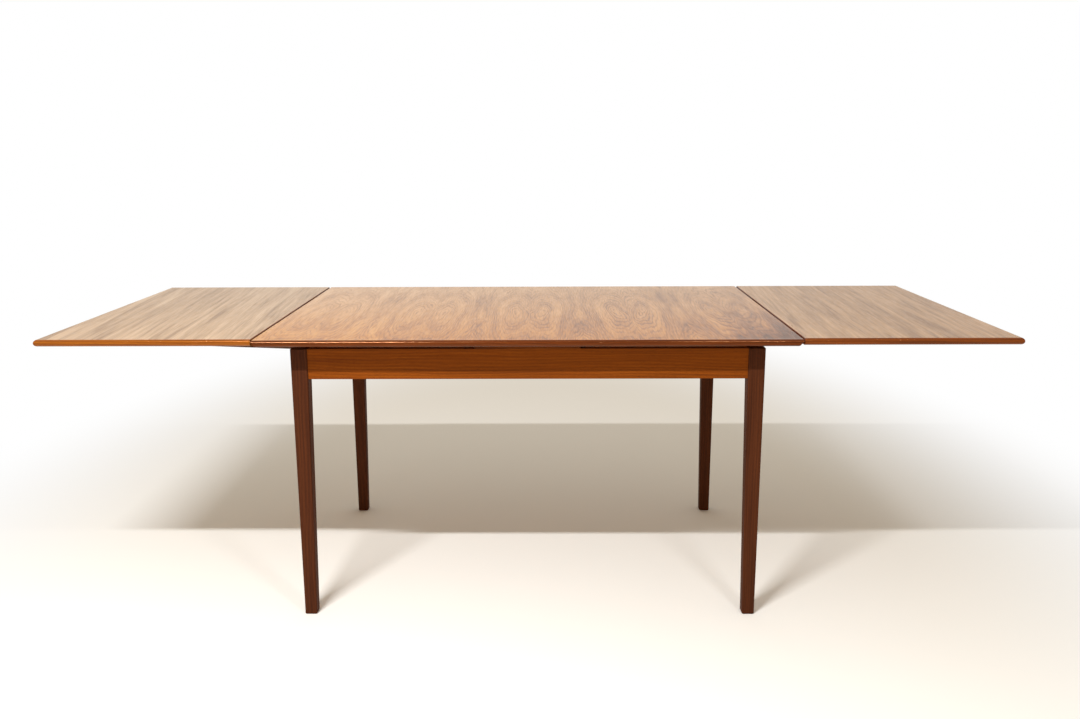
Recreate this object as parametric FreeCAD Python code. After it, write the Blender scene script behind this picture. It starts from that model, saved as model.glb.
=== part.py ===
import FreeCAD, Part
import math
import os

# Draw leaf table. Millimetres, +Z up, +X along the table towards the right leaf, +Y to the back.
# The origin is on the floor under the middle of the table.
# Both leaves stand drawn out, beside a loose top that rests on a fixed centre board.

Vector = FreeCAD.Vector

# ---- Main sizes ----
TABLE_HEIGHT = 730.0          # floor to the upper face of the main top
TOP_LENGTH = 1300.0
TOP_WIDTH = 890.0
TOP_THICKNESS = 17.0
LEAF_LENGTH = 514.0           # along the draw
LEAF_THICKNESS = 17.0
LEAF_SIDE_INSET = 8.0         # each long side of a leaf lies this far inside the top's
LEAF_PROUD = 1.3              # a drawn leaf stands this much above the main top
LEAF_END_GAP = 4.0            # drawn leaf to main top
LEAF_STOW_GAP = 8.0           # stowed leaf to centre board
LEAF_CLEAR_ABOVE = 0.5        # stowed leaf to main top
LEAF_CLEAR_BELOW = 0.5        # stowed leaf to underframe
LIPPING_WIDTH = 10.0          # solid edging round every panel
MEETING_ARRIS = 1.5           # eased upper edge of each end where leaf and top meet
TOP_END_LAND = 4.0            # upright face above the bevel under each end of the main top

# ---- Underframe ----
LEG_TOP_WIDTH = 41.0
LEG_FOOT_WIDTH = 31.0
LEG_EDGE_RADIUS = 4.0
FOOT_CHAMFER = 2.0
LEG_END_INSET = 74.0          # leg face to the end of the main top
LEG_SIDE_INSET = 65.0         # leg face to the long side of the main top
APRON_HEIGHT = 75.0
APRON_THICKNESS = 22.0
APRON_RECESS = 4.0            # leg face to apron face
APRON_ARRIS = 1.5             # eased lower edges
TENON_LENGTH = 19.0
TENON_THICKNESS = 9.0
TENON_SHOULDER = 10.0         # above and below each tenon
MORTISE_END_CLEARANCE = 1.0   # glue pocket past each tenon
CROSS_RAIL_INSET = 9.0        # inside the centre board's edge
CROSS_RAIL_THICKNESS = 22.0
CROSS_RAIL_HEIGHT = 70.0
CROSS_RAIL_HOUSING = 6.0      # depth of the housing in each apron
CORNER_BLOCK_REACH = 46.0     # along apron and rail, from the leg
CORNER_BLOCK_HEIGHT = 46.0
CORNER_BLOCK_LIFT = 3.0       # lower face above the apron's lower edge

# ---- Draw runners ----
RUNNER_WIDTH = 26.0
RUNNER_LEG_GAP = 14.0         # the left leaf's runners, the outer pair, to the legs
RUNNER_PAIR_GAP = 16.0        # outer pair to inner pair
RUNNER_NOTCH_DEPTH = 10.0     # in the outer face of the end rail
RUNNER_HEADROOM = 0.7         # runner to centre board
RUNNER_SETBACK = 60.0         # runner end to leaf end
RUNNER_END_BEVEL = 6.0
SLIDE_CLEARANCE = 0.2         # under a runner
SIDE_CLEARANCE = 0.4          # each side of a runner
STOP_LENGTH = 28.0
STOP_HEIGHT = 13.0
STOP_GAP = 0.3                # stop to cross rail with the leaf drawn out
STOP_PASSAGE = 3.0            # under and beside a stop in the far cross rail

# ---- Guide pegs of the loose top ----
PEG_RADIUS = 9.0
PEG_SPACING = 320.0
PEG_SEAT_DEPTH = 9.0          # into the main top
PEG_DROP = 30.0               # below the centre board
PEG_HOLE_CLEARANCE = 0.5
PEG_CHAMFER = 2.5

# ---- Bored recesses for the screw heads ----
SCREW_RECESS_RADIUS = 4.5
RUNNER_SCREW_COUNT = 3
RUNNER_SCREW_END = 40.0       # first and last screw to the ends of a runner's glued length
RUNNER_SCREW_SEAT = 9.0       # screw head to the leaf
STOP_RECESS_DEPTH = 2.5
BOARD_RECESS_DEPTH = 2.5
BOARD_SCREW_SPACING = 440.0   # across the table

CUT_MARGIN = 5.0              # how far a cutting tool stands out of the wood

# ---- Levels and lines that follow ----
board_thickness = LEAF_THICKNESS + LEAF_CLEAR_ABOVE + LEAF_CLEAR_BELOW
top_underside = TABLE_HEIGHT - TOP_THICKNESS
frame_top = top_underside - board_thickness
apron_bottom = frame_top - APRON_HEIGHT

half_length = TOP_LENGTH / 2
half_width = TOP_WIDTH / 2
leaf_half_width = half_width - LEAF_SIDE_INSET
board_half_length = half_length - LEAF_LENGTH - LEAF_STOW_GAP

leg_face_x = half_length - LEG_END_INSET
leg_face_y = half_width - LEG_SIDE_INSET
leg_inner_x = leg_face_x - LEG_TOP_WIDTH
leg_inner_y = leg_face_y - LEG_TOP_WIDTH
rail_face_x = leg_face_x - APRON_RECESS
apron_face_y = leg_face_y - APRON_RECESS
rail_inner_x = rail_face_x - APRON_THICKNESS
apron_inner_y = apron_face_y - APRON_THICKNESS

# A leaf stays level while it moves along one straight, slightly sloping line.
leaf_inner_x = half_length + LEAF_END_GAP
leaf_outer_x = leaf_inner_x + LEAF_LENGTH
leaf_underside = TABLE_HEIGHT + LEAF_PROUD - LEAF_THICKNESS
draw_length = leaf_inner_x - board_half_length - LEAF_STOW_GAP
draw_drop = leaf_underside - frame_top - LEAF_CLEAR_BELOW
draw_slope = draw_drop / draw_length

left_runner_spacing = 2 * (leg_inner_y - RUNNER_LEG_GAP) - RUNNER_WIDTH
right_runner_spacing = left_runner_spacing - 2 * (RUNNER_PAIR_GAP + RUNNER_WIDTH)
runner_outer_x = leaf_outer_x - RUNNER_SETBACK
cross_rail_x = board_half_length - CROSS_RAIL_INSET - CROSS_RAIL_THICKNESS / 2
stop_face_x = cross_rail_x - CROSS_RAIL_THICKNESS / 2 - STOP_GAP
runner_inner_x = stop_face_x - STOP_LENGTH


def runner_bottom(x):
    """Height of a drawn runner's lower edge: one straight line that the end rail carries."""
    return frame_top - RUNNER_NOTCH_DEPTH + SLIDE_CLEARANCE + draw_slope * (x - rail_face_x)


def runner_top(x):
    """Height of the runner's upper edge where it is free of the leaf, parallel to the lower edge."""
    return frame_top - RUNNER_HEADROOM + draw_slope * (x - board_half_length)


def box(x0, x1, y0, y1, z0, z1):
    """A block given by its lowest and highest X, Y and Z."""
    return Part.makeBox(x1 - x0, y1 - y0, z1 - z0, Vector(x0, y0, z0))


def prism(points, direction):
    """A closed outline of points, pushed along a direction."""
    wire = Part.makePolygon(points + points[:1])
    return Part.Face(wire).extrude(direction)


def side_prism(outline, y_middle, width):
    """An outline in X and Z, pushed across the table, centred on y_middle."""
    points = [Vector(x, y_middle - width / 2, z) for x, z in outline]
    return prism(points, Vector(0, width, 0))


def mirror_x(shape):
    """The same piece for the other end of the table."""
    return shape.mirror(Vector(0, 0, 0), Vector(1, 0, 0))


def mirror_y(shape):
    """The same piece for the other long side of the table."""
    return shape.mirror(Vector(0, 0, 0), Vector(0, 1, 0))


def recess(x, y, z0, z1):
    """An upright round recess for a screw head, from z0 up to z1."""
    return Part.makeCylinder(SCREW_RECESS_RADIUS, z1 - z0, Vector(x, y, z0))


# ---- Panels with solid lippings ----

def rounded_strip(x0, x1, y_edge, z0, thickness):
    """A strip along X whose edge at y_edge is half round."""
    radius = thickness / 2
    y_round = y_edge - radius
    y_back = y_edge - LIPPING_WIDTH
    arc = Part.Arc(
        Vector(x0, y_round, z0),
        Vector(x0, y_edge, z0 + radius),
        Vector(x0, y_round, z0 + thickness),
    ).toShape()
    upper = Part.makeLine(Vector(x0, y_round, z0 + thickness), Vector(x0, y_back, z0 + thickness))
    back = Part.makeLine(Vector(x0, y_back, z0 + thickness), Vector(x0, y_back, z0))
    lower = Part.makeLine(Vector(x0, y_back, z0), Vector(x0, y_round, z0))
    face = Part.Face(Part.Wire([arc, upper, back, lower]))
    return face.extrude(Vector(x1 - x0, 0, 0))


def rounded_lipping(half_x, half_y, z0, thickness, square_ends):
    """The half-round lipping of a panel's +Y side, mitred except at the ends named as square."""
    strip = rounded_strip(-half_x, half_x, half_y, z0, thickness)
    corner = LIPPING_WIDTH + CUT_MARGIN
    for side in (-1, 1):
        if side in square_ends:
            continue
        points = [
            Vector(side * (half_x + CUT_MARGIN), half_y + CUT_MARGIN, z0 - CUT_MARGIN),
            Vector(side * (half_x - corner), half_y - corner, z0 - CUT_MARGIN),
            Vector(side * (half_x + CUT_MARGIN), half_y - corner, z0 - CUT_MARGIN),
        ]
        strip = strip.cut(prism(points, Vector(0, 0, thickness + 2 * CUT_MARGIN)))
    return strip


def end_arris(x_end, z_top):
    """Tool that eases the upper edge of a panel's +X end."""
    outline = [
        (x_end - MEETING_ARRIS - CUT_MARGIN, z_top + CUT_MARGIN),
        (x_end + CUT_MARGIN, z_top - MEETING_ARRIS - CUT_MARGIN),
        (x_end + CUT_MARGIN, z_top + CUT_MARGIN),
    ]
    return side_prism(outline, 0, TOP_WIDTH + 2 * CUT_MARGIN)


def end_bevel(x_end, z0, thickness):
    """Tool that bevels a panel's +X end from below, so that a leaf slips under the rising top."""
    rise = thickness - TOP_END_LAND
    outline = [
        (x_end - 2 * LIPPING_WIDTH, z0 - rise),
        (x_end + LIPPING_WIDTH, z0 + 2 * rise),
        (x_end + LIPPING_WIDTH, z0 - rise),
    ]
    return side_prism(outline, 0, TOP_WIDTH + 2 * CUT_MARGIN)


def end_lipping(half_x, half_y, z0, thickness):
    """The square lipping of a panel's +X end, fitted between the two long lippings."""
    y = half_y - LIPPING_WIDTH
    return box(half_x - LIPPING_WIDTH, half_x, -y, y, z0, z0 + thickness)


def lipped_panel(name, x_middle, half_x, half_y, z0, thickness, meeting_ends, bevelled):
    """A veneered panel and the four lippings round it, square at the ends where leaf and top meet."""
    core_x = half_x - LIPPING_WIDTH
    core_y = half_y - LIPPING_WIDTH
    back = rounded_lipping(half_x, half_y, z0, thickness, meeting_ends)
    rounded_end = rounded_lipping(half_y, half_x, z0, thickness, ())
    rounded_end.rotate(Vector(0, 0, 0), Vector(0, 0, 1), -90)
    square_end = end_lipping(half_x, half_y, z0, thickness)
    pieces = {
        name + "_panel": box(-core_x, core_x, -core_y, core_y, z0, z0 + thickness),
        name + "_lipping_back": back,
        name + "_lipping_front": mirror_y(back),
        name + "_lipping_right": square_end if 1 in meeting_ends else rounded_end,
        name + "_lipping_left": mirror_x(square_end if -1 in meeting_ends else rounded_end),
    }
    tools = [end_arris(half_x, z0 + thickness)]
    if bevelled:
        tools.append(end_bevel(half_x, z0, thickness))
    for side, end in ((-1, "_lipping_left"), (1, "_lipping_right")):
        if side not in meeting_ends:
            continue
        here = tools if side == 1 else [mirror_x(tool) for tool in tools]
        for ending in ("_lipping_back", "_lipping_front", end):
            pieces[name + ending] = pieces[name + ending].cut(here)
    for piece in pieces.values():
        piece.translate(Vector(x_middle, 0, 0))
    return pieces


# ---- Legs, aprons and end rails ----

def leg_section(width, z):
    """A square with rounded corners whose outer corner lies at the leg's outer faces."""
    x0 = leg_face_x - width
    y0 = leg_face_y - width
    return rounded_square(x0, leg_face_x, y0, leg_face_y, z)


def rounded_square(x0, x1, y0, y1, z):
    """A rectangle with corner arcs, as a wire at height z."""
    r = LEG_EDGE_RADIUS
    k = r * (1 - math.sqrt(0.5))
    corners = [
        (Vector(x1, y0 + r, z), Vector(x1, y1 - r, z), Vector(x1 - k, y1 - k, z), Vector(x1 - r, y1, z)),
        (Vector(x1 - r, y1, z), Vector(x0 + r, y1, z), Vector(x0 + k, y1 - k, z), Vector(x0, y1 - r, z)),
        (Vector(x0, y1 - r, z), Vector(x0, y0 + r, z), Vector(x0 + k, y0 + k, z), Vector(x0 + r, y0, z)),
        (Vector(x0 + r, y0, z), Vector(x1 - r, y0, z), Vector(x1 - k, y0 + k, z), Vector(x1, y0 + r, z)),
    ]
    edges = []
    for side_start, side_end, arc_middle, arc_end in corners:
        edges.append(Part.makeLine(side_start, side_end))
        edges.append(Part.Arc(side_end, arc_middle, arc_end).toShape())
    return Part.Wire(edges)


def leg_blank():
    """Back right leg: square behind the aprons, then tapered on its two inner faces."""
    upper = Part.Face(leg_section(LEG_TOP_WIDTH, apron_bottom)).extrude(Vector(0, 0, APRON_HEIGHT))
    knee = leg_section(LEG_TOP_WIDTH, apron_bottom)
    foot = leg_section(LEG_FOOT_WIDTH, FOOT_CHAMFER)
    taper = Part.makeLoft([knee, foot], True, True)
    x0 = leg_face_x - LEG_FOOT_WIDTH + FOOT_CHAMFER
    y0 = leg_face_y - LEG_FOOT_WIDTH + FOOT_CHAMFER
    sole = rounded_square(x0, leg_face_x - FOOT_CHAMFER, y0, leg_face_y - FOOT_CHAMFER, 0)
    chamfer = Part.makeLoft([foot, sole], True, True)
    return upper.fuse([taper, chamfer]).removeSplitter()


def apron_tenon(extra):
    """Tenon of the back apron into the back right leg. Extra deepens it into a mortise."""
    y_middle = apron_face_y - APRON_THICKNESS / 2
    return box(
        leg_inner_x, leg_inner_x + TENON_LENGTH + extra,
        y_middle - TENON_THICKNESS / 2, y_middle + TENON_THICKNESS / 2,
        apron_bottom + TENON_SHOULDER, frame_top - TENON_SHOULDER,
    )


def rail_tenon(extra):
    """Tenon of the right end rail into the back right leg. Extra deepens it into a mortise."""
    x_middle = rail_face_x - APRON_THICKNESS / 2
    return box(
        x_middle - TENON_THICKNESS / 2, x_middle + TENON_THICKNESS / 2,
        leg_inner_y, leg_inner_y + TENON_LENGTH + extra,
        apron_bottom + TENON_SHOULDER, frame_top - TENON_SHOULDER,
    )


def legs():
    """Four legs, each mortised for one apron and one end rail."""
    back_right = leg_blank().cut([apron_tenon(MORTISE_END_CLEARANCE), rail_tenon(MORTISE_END_CLEARANCE)])
    front_right = mirror_y(back_right)
    return {
        "leg_back_right": back_right,
        "leg_front_right": front_right,
        "leg_back_left": mirror_x(back_right),
        "leg_front_left": mirror_x(front_right),
    }


def eased(shape, z):
    """Take the arris off the long straight edges at height z."""
    edges = []
    for edge in shape.Edges:
        level = all(abs(vertex.Z - z) < 0.001 for vertex in edge.Vertexes)
        if level and edge.Length > APRON_HEIGHT:
            edges.append(edge)
    return shape.makeChamfer(APRON_ARRIS, edges)


def cross_rail_housing(x_middle):
    """The housing for one end of a cross rail in the back apron."""
    half = CROSS_RAIL_THICKNESS / 2
    return box(
        x_middle - half, x_middle + half,
        apron_inner_y - CUT_MARGIN, apron_inner_y + CROSS_RAIL_HOUSING,
        frame_top - CROSS_RAIL_HEIGHT, frame_top + CUT_MARGIN,
    )


def aprons():
    """Back and front aprons, tenoned into the legs and housed for the cross rails."""
    bar = box(-leg_inner_x, leg_inner_x, apron_inner_y, apron_face_y, apron_bottom, frame_top)
    bar = eased(bar, apron_bottom)
    bar = bar.fuse([apron_tenon(0), mirror_x(apron_tenon(0))])
    bar = bar.cut([cross_rail_housing(-cross_rail_x), cross_rail_housing(cross_rail_x)])
    return {"apron_back": bar, "apron_front": mirror_y(bar)}


def runner_slot(x0, x1, y_middle, depth_below, side_clearance):
    """A notch along a runner's path between x0 and x1, open at the top of the frame."""
    a = x0 - CUT_MARGIN
    b = x1 + CUT_MARGIN
    outline = [
        (a, runner_bottom(a) - depth_below),
        (b, runner_bottom(b) - depth_below),
        (b, frame_top + CUT_MARGIN),
        (a, frame_top + CUT_MARGIN),
    ]
    return side_prism(outline, y_middle, RUNNER_WIDTH + 2 * side_clearance)


def end_rail(runner_spacing):
    """Right end rail, tenoned into the legs and notched for one pair of runners."""
    rail = box(rail_inner_x, rail_face_x, -leg_inner_y, leg_inner_y, apron_bottom, frame_top)
    rail = eased(rail, apron_bottom)
    rail = rail.fuse([rail_tenon(0), mirror_y(rail_tenon(0))])
    for side in (-1, 1):
        y = side * runner_spacing / 2
        rail = rail.cut(runner_slot(rail_inner_x, rail_face_x, y, SLIDE_CLEARANCE, SIDE_CLEARANCE))
    return rail


def cross_rail(own_spacing, other_spacing):
    """Right cross rail: close notches for its own runners, deep ones that let the others' stops by."""
    half = CROSS_RAIL_THICKNESS / 2
    x0 = cross_rail_x - half
    x1 = cross_rail_x + half
    reach = apron_inner_y + CROSS_RAIL_HOUSING
    rail = box(x0, x1, -reach, reach, frame_top - CROSS_RAIL_HEIGHT, frame_top)
    for side in (-1, 1):
        own = runner_slot(x0, x1, side * own_spacing / 2, SLIDE_CLEARANCE, SIDE_CLEARANCE)
        y_other = side * other_spacing / 2
        passing = mirror_x(runner_slot(-x1, -x0, y_other, STOP_HEIGHT + STOP_PASSAGE, STOP_PASSAGE))
        rail = rail.cut([own, passing])
    return rail


# ---- Corner blocks ----

def corner_block_outline():
    """Plan of the back right corner block, cut round the leg's inner corner."""
    return [
        (rail_inner_x, leg_inner_y),
        (leg_inner_x, leg_inner_y),
        (leg_inner_x, apron_inner_y),
        (leg_inner_x - CORNER_BLOCK_REACH, apron_inner_y),
        (rail_inner_x, leg_inner_y - CORNER_BLOCK_REACH),
    ]


def corner_block():
    """Back right corner block, glued to apron, end rail and leg."""
    z0 = apron_bottom + CORNER_BLOCK_LIFT
    points = [Vector(x, y, z0) for x, y in corner_block_outline()]
    return prism(points, Vector(0, 0, CORNER_BLOCK_HEIGHT))


def all_four(shape):
    """A piece of the back right corner and its three mirror images."""
    return [shape, mirror_x(shape), mirror_y(shape), mirror_x(mirror_y(shape))]


# ---- Centre board ----

def peg_positions():
    """Where the two guide pegs stand."""
    return [Vector(0, side * PEG_SPACING / 2, 0) for side in (-1, 1)]


def centre_board():
    """Fixed board that fills the space between the stowed leaves, with a lipping on each long side."""
    lipping_y = apron_face_y - LIPPING_WIDTH
    panel = box(-board_half_length, board_half_length, -lipping_y, lipping_y, frame_top, top_underside)
    radius = PEG_RADIUS + PEG_HOLE_CLEARANCE
    for p in peg_positions():
        panel = panel.cut(Part.makeCylinder(radius, board_thickness, Vector(p.x, p.y, frame_top)))
    recess_floor = top_underside - BOARD_RECESS_DEPTH
    for side_x in (-1, 1):
        for side_y in (-1, 1):
            y = side_y * BOARD_SCREW_SPACING / 2
            panel = panel.cut(recess(side_x * cross_rail_x, y, recess_floor, top_underside))
    back = box(-board_half_length, board_half_length, lipping_y, apron_face_y, frame_top, top_underside)
    return {
        "centre_board_panel": panel,
        "centre_board_lipping_back": back,
        "centre_board_lipping_front": mirror_y(back),
    }


# ---- Loose main top ----

def guide_peg():
    """Round peg under the main top, chamfered at its lower end."""
    z_low = frame_top - PEG_DROP
    z_high = top_underside + PEG_SEAT_DEPTH
    outline = [
        Vector(0, 0, z_low),
        Vector(PEG_RADIUS - PEG_CHAMFER, 0, z_low),
        Vector(PEG_RADIUS, 0, z_low + PEG_CHAMFER),
        Vector(PEG_RADIUS, 0, z_high),
        Vector(0, 0, z_high),
    ]
    face = Part.Face(Part.makePolygon(outline + outline[:1]))
    return face.revolve(Vector(0, 0, 0), Vector(0, 0, 1), 360)


def main_top():
    """The loose top and its two guide pegs."""
    pieces = lipped_panel("main_top", 0, half_length, half_width, top_underside, TOP_THICKNESS, (-1, 1), True)
    for name, p in zip(("guide_peg_front", "guide_peg_back"), peg_positions()):
        seat = Part.makeCylinder(PEG_RADIUS, PEG_SEAT_DEPTH, Vector(p.x, p.y, top_underside))
        pieces["main_top_panel"] = pieces["main_top_panel"].cut(seat)
        peg = guide_peg()
        peg.translate(p)
        pieces[name] = peg
    return pieces


# ---- Leaves with their runners ----

def runner_outline():
    """Side view of a right leaf's runner, drawn out: a wedge under the leaf, then a sloping bar."""
    meet_x = board_half_length + (leaf_underside - frame_top + RUNNER_HEADROOM) / draw_slope
    bevel_x = runner_outer_x - RUNNER_END_BEVEL
    bevel_z = (leaf_underside + runner_bottom(runner_outer_x)) / 2
    return [
        (runner_inner_x, runner_bottom(runner_inner_x)),
        (bevel_x, runner_bottom(bevel_x)),
        (runner_outer_x, bevel_z),
        (runner_outer_x, leaf_underside),
        (meet_x, leaf_underside),
        (runner_inner_x, runner_top(runner_inner_x)),
    ]


def stop_outline():
    """Side view of the block under a runner's inner end that meets the cross rail."""
    return [
        (runner_inner_x, runner_bottom(runner_inner_x)),
        (stop_face_x, runner_bottom(stop_face_x)),
        (stop_face_x, runner_bottom(stop_face_x) - STOP_HEIGHT),
        (runner_inner_x, runner_bottom(runner_inner_x) - STOP_HEIGHT),
    ]


def bored_runner(y):
    """A right leaf's runner at y, bored from below for the screws that hold it to the leaf."""
    runner = side_prism(runner_outline(), y, RUNNER_WIDTH)
    first = leaf_inner_x + RUNNER_SCREW_END
    last = runner_outer_x - RUNNER_SCREW_END
    for i in range(RUNNER_SCREW_COUNT):
        x = first + i * (last - first) / (RUNNER_SCREW_COUNT - 1)
        z0 = runner_bottom(x) - CUT_MARGIN
        runner = runner.cut(recess(x, y, z0, leaf_underside - RUNNER_SCREW_SEAT))
    return runner


def bored_stop(y):
    """The stop under a runner's inner end, bored from below for its screw."""
    stop = side_prism(stop_outline(), y, RUNNER_WIDTH)
    x = (runner_inner_x + stop_face_x) / 2
    lower_edge = runner_bottom(x) - STOP_HEIGHT
    return stop.cut(recess(x, y, lower_edge - CUT_MARGIN, lower_edge + STOP_RECESS_DEPTH))


def draw_leaf(name, runner_spacing):
    """A right leaf, drawn out, with its two runners and their stops."""
    x_middle = (leaf_inner_x + leaf_outer_x) / 2
    half_x = LEAF_LENGTH / 2
    z0 = leaf_underside
    pieces = lipped_panel(name, x_middle, half_x, leaf_half_width, z0, LEAF_THICKNESS, (-1,), False)
    for side, place in ((-1, "front"), (1, "back")):
        y = side * runner_spacing / 2
        pieces[name + "_runner_" + place] = bored_runner(y)
        pieces[name + "_stop_" + place] = bored_stop(y)
    return pieces


def left_hand(pieces, name):
    """Mirror a right leaf to the left end, so that its inner and outer lippings change names."""
    swapped = {"_lipping_left": "_lipping_right", "_lipping_right": "_lipping_left"}
    mirrored = {}
    for node, shape in pieces.items():
        ending = node[len(name):]
        mirrored[name + swapped.get(ending, ending)] = mirror_x(shape)
    return mirrored


# ---- The whole table ----

def underframe():
    """Legs, aprons, rails, corner blocks and centre board."""
    pieces = legs()
    pieces.update(aprons())
    pieces["end_rail_right"] = end_rail(right_runner_spacing)
    pieces["end_rail_left"] = mirror_x(end_rail(left_runner_spacing))
    pieces["cross_rail_right"] = cross_rail(right_runner_spacing, left_runner_spacing)
    pieces["cross_rail_left"] = mirror_x(cross_rail(left_runner_spacing, right_runner_spacing))
    names = ("back_right", "back_left", "front_right", "front_left")
    for name, block in zip(names, all_four(corner_block())):
        pieces["corner_block_" + name] = block
    pieces.update(centre_board())
    return pieces


def main():
    """Build every piece and write one file for each node."""
    pieces = underframe()
    pieces.update(main_top())
    pieces.update(draw_leaf("right_leaf", right_runner_spacing))
    pieces.update(left_hand(draw_leaf("left_leaf", left_runner_spacing), "left_leaf"))
    os.makedirs("parts", exist_ok=True)
    for name, shape in pieces.items():
        shape.exportStep("parts/" + name + ".step")


main()
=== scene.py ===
"""Finish, fasteners, light and camera for the draw leaf table.

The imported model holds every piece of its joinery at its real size. This script gives each one its wood,
adds the screw heads and the guide battens, and sets up a pale studio. Lengths are metres unless a name
ends in mm. The table's length runs along X, its front faces -Y, and the floor is at zero.
"""
import math

import bmesh
import bpy
from mathutils import Matrix, Vector


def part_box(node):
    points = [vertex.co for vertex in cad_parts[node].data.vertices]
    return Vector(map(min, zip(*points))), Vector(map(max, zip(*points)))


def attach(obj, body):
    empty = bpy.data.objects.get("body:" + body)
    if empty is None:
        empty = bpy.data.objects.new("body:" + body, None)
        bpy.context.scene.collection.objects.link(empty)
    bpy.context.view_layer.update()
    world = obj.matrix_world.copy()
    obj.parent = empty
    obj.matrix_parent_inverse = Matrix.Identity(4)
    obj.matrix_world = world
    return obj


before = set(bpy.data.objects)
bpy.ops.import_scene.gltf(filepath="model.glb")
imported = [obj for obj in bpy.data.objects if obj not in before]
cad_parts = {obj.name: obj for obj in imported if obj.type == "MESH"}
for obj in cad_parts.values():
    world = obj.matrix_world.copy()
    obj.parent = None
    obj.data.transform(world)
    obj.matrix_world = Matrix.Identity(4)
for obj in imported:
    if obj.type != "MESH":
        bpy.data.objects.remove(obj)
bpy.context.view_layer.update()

MM = 0.001


# ---- Small helpers ----

def linear(hex_colour):
    """An sRGB hex colour, such as "a0522d", as linear red, green, blue and a full alpha."""
    channels = [int(hex_colour[i:i + 2], 16) / 255 for i in (0, 2, 4)]
    return [c / 12.92 if c <= 0.04045 else ((c + 0.055) / 1.055) ** 2.4 for c in channels] + [1.0]


def add(tree, kind, inputs=None, stops=None, **settings):
    """Add one node: its settings, its inputs as values, sockets or nodes to link, any ramp stops."""
    made = tree.nodes.new(kind)
    for name, value in settings.items():
        setattr(made, name, value)
    for key, value in (inputs or {}).items():
        if isinstance(value, bpy.types.Node):
            value = value.outputs[0]
        if isinstance(value, bpy.types.NodeSocket):
            tree.links.new(value, made.inputs[key])
        else:
            made.inputs[key].default_value = value
    if stops:
        elements = made.color_ramp.elements
        while len(elements) < len(stops):
            elements.new(0.5)
        for element, (position, colour) in zip(elements, stops):
            element.position = position
            element.color = linear(colour)
    return made


def new_tree(name):
    """An empty material and its node tree."""
    material = bpy.data.materials.new(name)
    material.use_nodes = True
    material.node_tree.nodes.clear()
    return material, material.node_tree


# ---- What wood is made of ----

GRAIN_TURNS = {
    "X": (0.0, math.radians(-90), 0.0),
    "Y": (math.radians(90), 0.0, 0.0),
    "Z": (0.0, 0.0, 0.0),
}


def grain_space(tree, grain, lean=0.0):
    """Object coordinates turned so that the grain runs along the third axis, leaning by some degrees."""
    place = add(tree, "ShaderNodeTexCoord").outputs["Object"]
    if lean:
        leaning = (0.0, 0.0, math.radians(lean))
        place = add(tree, "ShaderNodeMapping", {"Vector": place, "Rotation": leaning})
    return add(tree, "ShaderNodeMapping", {"Vector": place, "Rotation": GRAIN_TURNS[grain]})


def streaks(tree, place, across_mm, along_mm, seed, detail=2.0, distortion=0.0):
    """Noise drawn out along the grain, in features about across_mm wide and along_mm long.

    Each seed takes it from another place in the noise, so that no two patterns match.
    """
    across = 1 / (across_mm * MM)
    along = 1 / (along_mm * MM)
    apart = (seed * 1.7, seed * 2.3, seed * 0.9)
    spread = add(tree, "ShaderNodeMapping", {
        "Vector": place, "Location": apart, "Scale": (across, across, along),
    })
    return add(tree, "ShaderNodeTexNoise", {
        "Vector": spread, "Scale": 1.0, "Detail": detail, "Roughness": 0.55, "Distortion": distortion,
    })


def weighted(tree, *pairs):
    """The sum of several patterns, each times its weight."""
    total = 0.0
    for pattern, weight in pairs:
        total = add(tree, "ShaderNodeMath", {0: pattern, 1: weight, 2: total}, operation="MULTIPLY_ADD")
    return total


PORE_MM = (0.7, 11.0)         # width and length. Real ones are near 0.3 mm wide, drawn wider to show
PORE_ONSET = 0.62             # level of the noise at which a pore begins
PORE_FULL = 0.72              # and at which it is at its deepest
GLOSS_DROP = 0.04             # the roughness wanders this far below its own value
GLOSS_RISE = 0.06             # and this far above it
RELIEF_HEIGHT = 0.1 * MM      # of fibre, pores and the dents left by hand rounding
WOOD_IOR = 1.5


def pores(tree, place, seed):
    """Open pores as short dashes along the grain, 1 where there is a pore."""
    dashes = streaks(tree, place, *PORE_MM, seed, detail=1.0)
    return add(tree, "ShaderNodeMapRange", {
        "Value": dashes, "From Min": PORE_ONSET, "From Max": PORE_FULL,
    })


def finished(tree, colour, place, seed, finish):
    """Close a wood material: pores in the colour, uneven gloss, fine relief and the film of oil on top."""
    pore = pores(tree, place, seed + 4)
    pore_colour = linear(finish["pore"])
    depth = add(tree, "ShaderNodeMath", {0: pore, 1: finish["pore_depth"]}, operation="MULTIPLY")
    shaded = add(tree, "ShaderNodeMix", {0: depth, 6: colour, 7: pore_colour}, data_type="RGBA")
    gloss = add(tree, "ShaderNodeMapRange", {
        "Value": streaks(tree, place, 4.0, 45.0, seed + 5), "From Min": 0.3, "From Max": 0.7,
        "To Min": finish["roughness"] - GLOSS_DROP, "To Max": finish["roughness"] + GLOSS_RISE,
    })
    fibre = streaks(tree, place, 0.9, 60.0, seed + 3)
    dents = streaks(tree, place, 9.0, 35.0, seed + 6)
    relief = weighted(tree, (fibre, 0.4), (pore, -0.8), (dents, finish["dents"]))
    raised = add(tree, "ShaderNodeBump", {
        "Height": relief, "Strength": finish["relief"], "Distance": RELIEF_HEIGHT,
    })
    shader = add(tree, "ShaderNodeBsdfPrincipled", {
        "Base Color": shaded.outputs[2], "Roughness": gloss, "Normal": raised, "IOR": WOOD_IOR,
        "Specular IOR Level": finish["specular"], "Specular Tint": linear(finish["tint"]),
        "Coat Weight": finish["film"], "Coat Roughness": finish["film_roughness"],
    })
    add(tree, "ShaderNodeOutputMaterial", {"Surface": shader})


# How each surface is finished. Specular is the shader's own scale, where 0.5 is the full gloss of the IOR.
# The tint warms what the surface mirrors, as amber oil does, and film is the share of a clear coat.

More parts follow.
